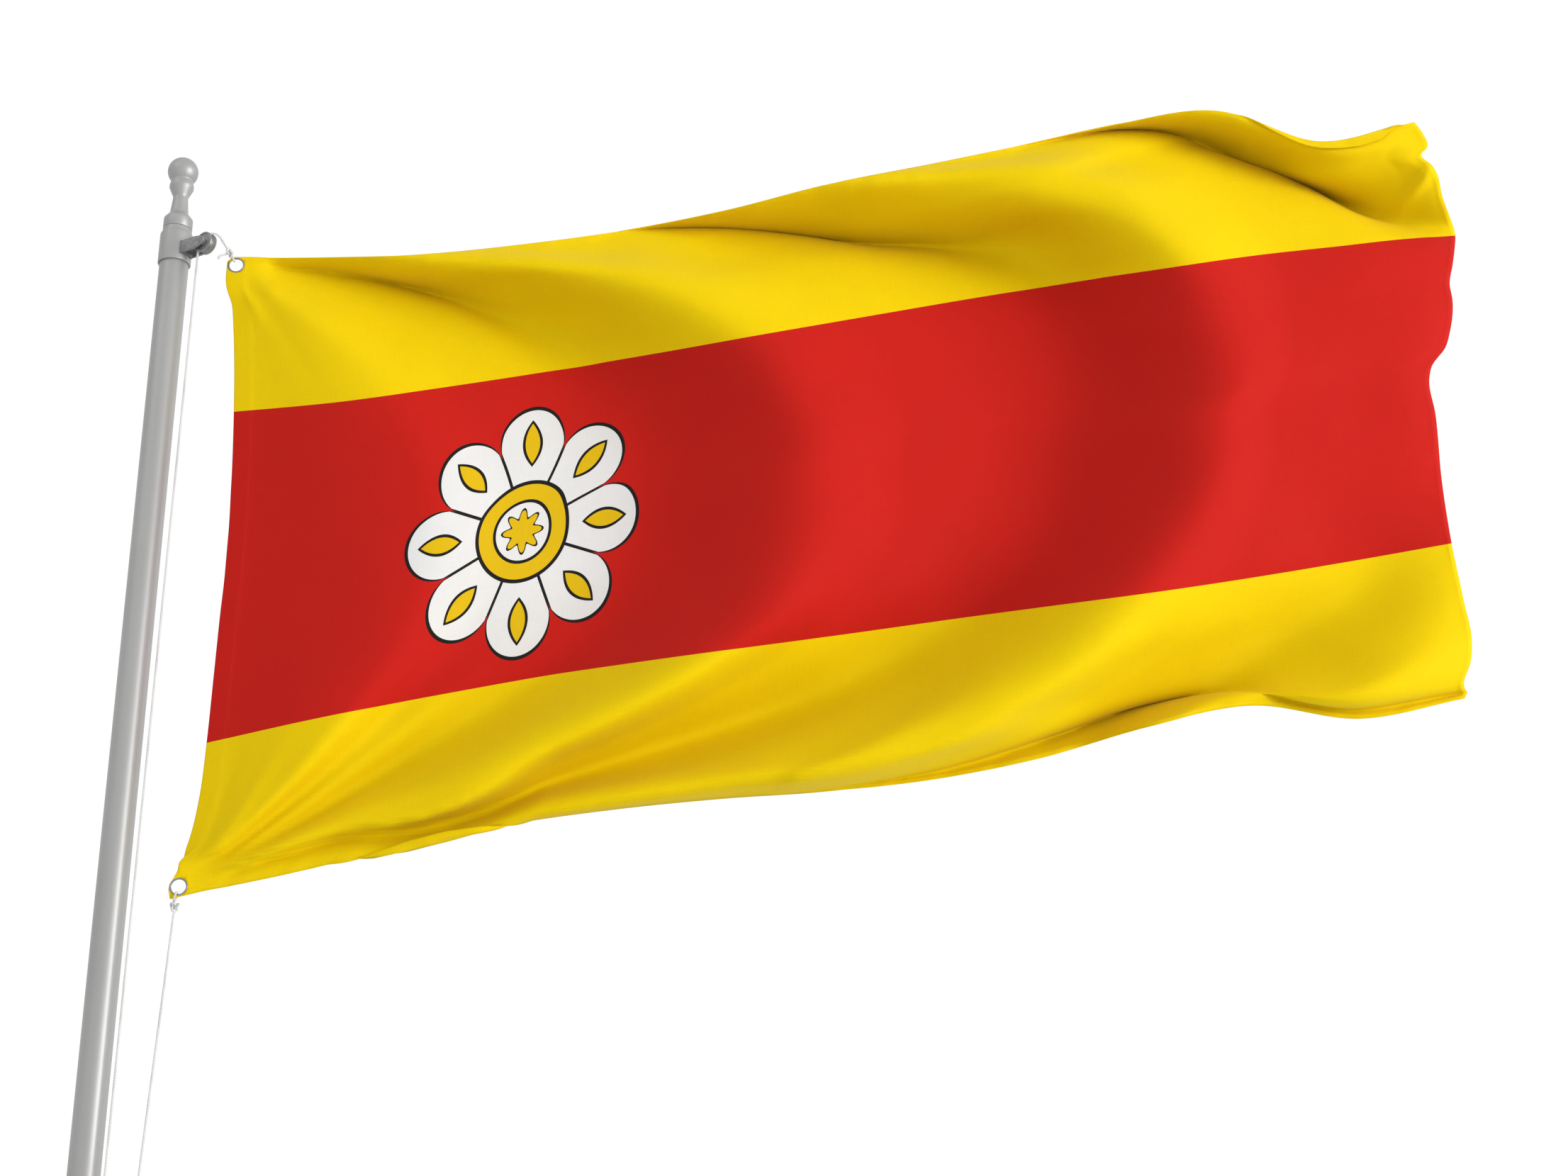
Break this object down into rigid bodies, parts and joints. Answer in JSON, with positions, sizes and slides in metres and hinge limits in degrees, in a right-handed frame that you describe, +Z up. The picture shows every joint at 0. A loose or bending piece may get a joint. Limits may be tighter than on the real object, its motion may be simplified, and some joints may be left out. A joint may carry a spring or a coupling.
{
  "type": "flag on flagpole",
  "caption": "A yellow, red and yellow city flag flying from the head of a grey flagpole on a looped halyard, with a ball finial and a bracketed sheave.",
  "frame": {"origin": "the centre of the flat foot of the pole", "axes": "+Z up the pole, +X along the fly of the flag, -Y toward the viewer"},
  "size_m": [2.3501, 0.2257, 2.5326],
  "materials": {
    "pole": "satin light grey paint",
    "bracket": "dull grey zinc",
    "eyelet": "satin",
    "cloth": "satin woven",
    "cord": "plaited white rope"
  },
  "bodies": {
    "mast": {"mast": "pole", "truck": "pole", "finial": "pole", "anchor": "pole", "sheave_bracket": "bracket", "sheave_pin": "bracket", "eyelet_upper": "eyelet", "eyelet_lower": "eyelet", "flag_cloth": "cloth", "halyard_main": "cord", "halyard_lower": "cord", "tail_upper": "cord", "knot_upper": "cord", "knot_lower": "cord", "loop_upper": "cord", "loop_lower": "cord", "stopper_main": "cord", "stopper_lower": "cord"},
    "sheave": {"sheave": "bracket"}
  },
  "joints": [
    {"name": "sheave_spin", "type": "hinge", "parent": "mast", "child": "sheave", "pos_m": [0.06489, -0.03899, 2.285], "axis": [0.515, 0.8572, 0], "continuous": true}
  ]
}
